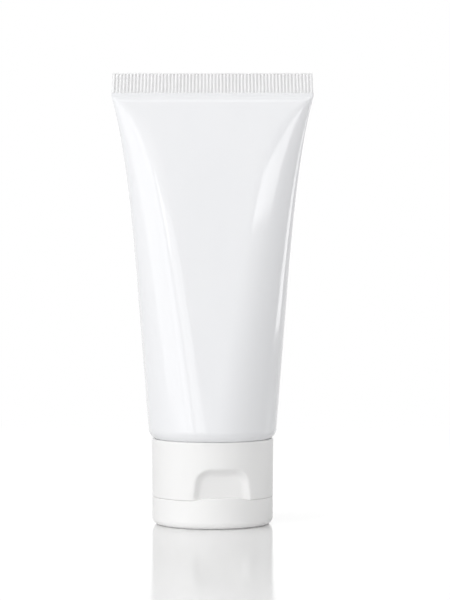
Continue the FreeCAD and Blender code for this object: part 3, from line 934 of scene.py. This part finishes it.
head_white = waxy_finish(
    "head_natural", (0.84, 0.84, 0.82, 1), (0.88, 0.88, 0.865, 1), rough=0.4, wave=120, depth=0.03 * MM)
cream_white = waxy_finish(
    "cream_soft", (0.86, 0.845, 0.8, 1), (0.9, 0.89, 0.855, 1), rough=0.3, wave=180, depth=0.3 * MM)

# %% [markdown]
# ## Dressing the pieces
# Each piece carries one finish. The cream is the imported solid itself, so only its slot is filled.

# %% Giving each piece its finish
def dress(piece, material):
    """Gives the piece this material and no other."""
    piece.data.materials.clear()
    piece.data.materials.append(material)


dress(sleeve, film)
dress(crimp, pressed)
for piece in (cap, lid, hinge):
    dress(piece, satin)
for piece in (head, thread):
    dress(piece, head_white)
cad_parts["cream"].material_slots[0].material = cream_white
print("dressed:", ", ".join(piece.name for piece in (sleeve, crimp, cap, lid, hinge, head, thread)))

# %% [markdown]
# ## The floor
# The tube stands on a plain white table. Lit by the lamps alone it would look a shade too grey, so where the
# eye sees it, it also glows a little; the tube's shadow and its faint reflection stay. Further off the table
# fades to plain white, so that no horizon shows.

# %% Floor and surroundings
TABLE_SIZE, TABLE_GLOW = 8, 0.03
FADE_START, FADE_END = 50 * MM, 360 * MM


def floor_finish():
    """White and slightly glossy near the tube, plain white further off."""
    floor = Finish("white_table")
    seen = floor.seen()
    here = floor.node("ShaderNodeTexCoord", output="Object")
    away = floor.node("ShaderNodeVectorMath", {"operation": "LENGTH"}, {0: here}, output="Value")
    far = floor.node("ShaderNodeMapRange", {"interpolation_type": "SMOOTHSTEP"},
                     {"Value": away, "From Min": FADE_START, "From Max": FADE_END}, output=0)
    base = floor.node("ShaderNodeBsdfPrincipled", {}, {
        "Base Color": (0.92, 0.92, 0.92, 1), "Roughness": 0.12, "IOR": 1.4})
    glow = floor.node("ShaderNodeEmission", {}, {"Strength": seen * TABLE_GLOW})
    near = floor.node("ShaderNodeAddShader", {}, {0: base, 1: glow})
    white = floor.node("ShaderNodeEmission", {}, {"Strength": 1.0})
    return floor.surface(floor.node("ShaderNodeMixShader", {}, {0: far * seen, 1: near, 2: white}))


start_fresh()
bpy.ops.mesh.primitive_plane_add(size=TABLE_SIZE, location=(0, 0, 0))
table = bpy.context.object
table.name = "table_top"
dress(table, floor_finish())

# %% [markdown]
# ## The room
# Seen directly, in the gloss and through glass the room is plain white. As light it is weaker, and stronger
# from the front left, so that round things are shaded. A white room that lit as strongly as it looks would
# flatten them.

# %% The room round it
class Room(Finish):
    """The world, built from nodes as a finish is."""

    def __init__(self, name):
        self.world = bpy.data.worlds.new(name)
        self.world.use_nodes = True
        self.tree = self.world.node_tree
        self.tree.nodes.clear()


def white_room(even, sided, side):
    """White where it is seen; as light on the object, even all round and stronger towards one side."""
    room = Room("white_room")
    here = room.node("ShaderNodeTexCoord", output="Generated")
    toward = room.node("ShaderNodeVectorMath", {"operation": "DOT_PRODUCT"}, {0: here, 1: side},
                       output="Value")
    glow = toward.math("MAXIMUM", toward, 0.0) * sided + even
    seen = room.seen()
    backdrop = room.node("ShaderNodeBackground", {}, {
        "Color": (1, 1, 1, 1), "Strength": seen + glow * (1 - seen)})
    room.node("ShaderNodeOutputWorld", {}, {"Surface": backdrop})
    return room.world


def direction(azimuth, elevation):
    """A unit vector. Azimuth 0 is in front, positive to the right."""
    turn, rise = math.radians(azimuth), math.radians(elevation)
    return Vector((math.sin(turn) * math.cos(rise), -math.cos(turn) * math.cos(rise), math.sin(rise)))


bpy.context.scene.world = white_room(0.31, 0.95, direction(-40, 2))
print("room:", bpy.context.scene.world.name)

# %% [markdown]
# ## The lights
# Every lamp is a soft box aimed at the tube, because gloss shows its form by what it mirrors. The key at the
# left and its two inner boxes make the broad white band and the light fall from left to right. Four more
# are there for what they show as on the gloss: a thin streak in the left corner, a band under the crimp, a
# sickle along the right edge of the panel and a line that lifts the shaded side off the background. The last
# one keeps the back from going dark.

# %% Soft boxes
AIM = Vector((0, 0, 0.06))


def soft_box(name, azimuth, elevation, distance, wide, tall, glow, lean=0):
    """An area light that faces the tube. Angles are in degrees, distance and size in metres.

    A positive lean lifts its right end, seen from behind the lamp.
    """
    data = bpy.data.lights.new(name, "AREA")
    data.shape = "RECTANGLE"
    data.size = wide
    data.size_y = tall
    data.energy = glow * math.pi * wide * tall
    lamp = bpy.data.objects.new(name, data)
    bpy.context.scene.collection.objects.link(lamp)
    lamp.location = AIM + direction(azimuth, elevation) * distance
    lamp.rotation_mode = "QUATERNION"
    facing = (AIM - lamp.location).to_track_quat("-Z", "Y")
    lamp.rotation_quaternion = facing @ Quaternion((0, 0, 1), math.radians(lean))


soft_box("key_left", -60, 6, 0.62, 0.38, 0.45, 1.15)
soft_box("key_inner", -37, 8, 0.62, 0.11, 0.32, 1.6)
soft_box("streak_left", -26, 16, 0.7, 0.05, 0.09, 2.6)
soft_box("front_left", -18, 6, 0.7, 0.2, 0.3, 1.25)
soft_box("top_front", 0, 77, 0.7, 0.8, 0.11, 2.0)
soft_box("sickle_right", 31, 17.6, 0.7, 0.42, 0.08, 3.2, lean=-11)
soft_box("edge_right", 116, -2, 0.6, 0.16, 0.4, 3.0)
soft_box("back", 178, 12, 0.8, 0.5, 0.4, 0.4)
print("lamps:", len(bpy.data.lights))

# %% [markdown]
# ## The camera
# A long lens stands at about three quarters of the tube's height and looks down a little. From so far away
# the tube's sides keep their true taper, where a short lens close by would widen its near parts.

# %% Camera
EYE = Vector((0.0034, -0.8, 0.09))
VIEW_GOAL = Vector((0.0034, 0, 0.0612))
lens = bpy.data.cameras.new("long_lens")
lens.lens = 176
lens.sensor_width = 36
lens.clip_start = 0.05
camera = bpy.data.objects.new("long_lens", lens)
bpy.context.scene.collection.objects.link(camera)
camera.location = EYE
camera.rotation_mode = "QUATERNION"
camera.rotation_quaternion = (VIEW_GOAL - EYE).to_track_quat("-Z", "Y")
bpy.context.scene.camera = camera
bpy.context.scene.view_settings.view_transform = "Standard"
print(f"camera {EYE.length:.2f} m away")

# %% [markdown]
# ## Finish

# %% Finish
print("scene built")
